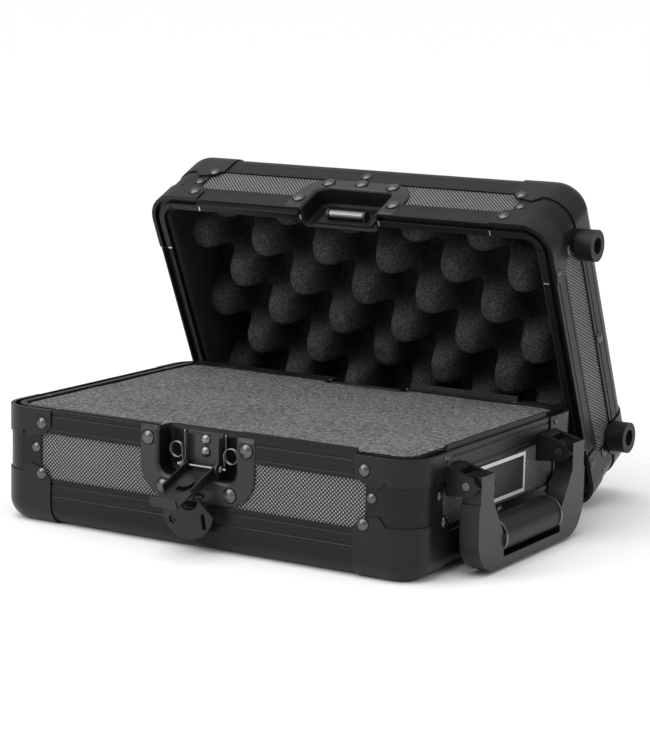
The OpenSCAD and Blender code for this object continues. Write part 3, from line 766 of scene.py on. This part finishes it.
def lobe_height(x, y):
    """Height of the lid's egg-crate foam above the lid's outer face."""
    lean = LOBE_LEAN * x
    c = (math.cos(2 * math.pi * (x - LOBE_AT_X) / LOBE_X)
         * math.cos(2 * math.pi * (y - LOBE_AT_Y - lean) / LOBE_Y))
    c = math.tanh(2.6 * (c - 0.08)) / math.tanh(2.6)
    z = LOBE_MID + LOBE_SWING * c
    for m in (-1, 1):
        t = ease(max(abs(x) - PRESS_X, PRESS_Y - m * y), PRESS_EDGE)
        z = z * (1 - t) + min(z, PRESS_TOP) * t
    t = ease(max(abs(x) - LATCH_HALF_X, abs(y - LATCH_Y) - LATCH_HALF_Y), LATCH_EDGE)
    low = LOBE_MID - LOBE_SWING
    z = low + (z - low) * (1 - LATCH_LOWER * t)
    return z + 0.5 * noise.noise(Vector((x, y, 0)) * 0.05)


def lid_foam():
    a, b, r = HL - RIM_IN, HW - RIM_IN, CORNER_R - RIM_IN
    nx, ny = 230, 160
    sh = Shape()
    verts, faces = [], []
    for j in range(ny + 1):
        for i in range(nx + 1):
            x, y = -a + 2 * a * i / nx, -b + 2 * b * j / ny
            dx, dy = abs(x) - (a - r), abs(y) - (b - r)
            if dx > 0 and dy > 0 and math.hypot(dx, dy) > r:
                f = r / math.hypot(dx, dy)
                x = math.copysign(a - r + dx * f, x)
                y = math.copysign(b - r + dy * f, y)
            verts.append((x, y, lobe_height(x, y)))
    for j in range(ny):
        for i in range(nx):
            p = j * (nx + 1) + i
            faces.append((p, p + 1, p + nx + 2, p + nx + 1))
    rim = ([i for i in range(nx + 1)] + [j * (nx + 1) + nx for j in range(1, ny + 1)]
           + [ny * (nx + 1) + i for i in range(nx - 1, -1, -1)]
           + [j * (nx + 1) for j in range(ny - 1, 0, -1)])
    low = len(verts)
    for p in rim:
        verts.append((verts[p][0], verts[p][1], 7.2))
    n = len(rim)
    for q in range(n):
        faces.append((rim[q], low + q, low + (q + 1) % n, rim[(q + 1) % n]))
    faces.append(tuple(range(low, low + n)))
    sh.add(verts, faces)
    ob = make("lid_egg_foam", sh, "lid", BLACK_FOAM, LID, ["lid_foam"])
    back = LID.inverted()
    # height of each point over the lid's foam floor, which darkens the low valleys in the foam's
    # colour: painted shade
    shade_height_above_floor = ob.data.attributes.new("height_for_valley_shade", "FLOAT", "POINT")
    for v, d in zip(ob.data.vertices, shade_height_above_floor.data):
        d.value = max(0.0, min(1.0, ((back @ v.co).z - 15) / 26))


def liner():
    """Soft strip round the lid's walls, its upper edge rolled over, open at the dishes."""
    a, b, r = HL - RIM_IN, HW - RIM_IN, CORNER_R - RIM_IN
    sec = [(0, 20), (3.6, 20), (3.9, 40), (3.9, 58), (3.5, 61), (2.4, 62.6), (1.0, 63), (0, 62.8)]
    sh = Shape()
    for side in (1, -1):
        path = []
        gap = DISH_HALF + 3
        for i in range(31):
            path.append((gap + (a - r - gap) * i / 30, -b, 0, -1))
        for i in range(1, 13):
            t = math.radians(-90 + 90 * i / 12)
            path.append((a - r + r * math.cos(t), -b + r + r * math.sin(t),
                         math.cos(t), math.sin(t)))
        for i in range(1, 41):
            path.append((a, -b + r + (2 * b - 2 * r) * i / 40, 1, 0))
        for i in range(1, 13):
            t = math.radians(90 * i / 12)
            path.append((a - r + r * math.cos(t), b - r + r * math.sin(t),
                         math.cos(t), math.sin(t)))
        for i in range(1, 31):
            path.append((a - r - (a - r - gap) * i / 30, b, 0, 1))
        loops = []
        for x, y, nx, ny in path:
            wob = 0.35 * noise.noise(Vector((x, y, 3)) * 0.04)
            loops.append([(side * (x - nx * (u + (wob if u > 1 else 0))),
                           y - ny * (u + (wob if u > 1 else 0)), z + wob) for u, z in sec])
        sh.loft(loops)
    ob = make("lid_liner_strip", sh, "lid", LINER, LID, ["lid_liner"], 0.6)


pick_foam()
lid_foam()
liner()

# ---------------------------------------------------------------- nameplate's border
sh = Shape()
for a, b in (((-34.6, 32.9), (34.6, 35.3)), ((-34.6, 56.7), (34.6, 59.1)),
             ((-34.6, 35.3), (-32.2, 56.7)), ((32.2, 35.3), (34.6, 56.7))):
    sh.plate([a, (b[0], a[1]), b, (a[0], b[1])], 0.12, 0.25, wall(1))
make("nameplate_border", sh, "base", PLATE_WHITE, BASE, flat=True)
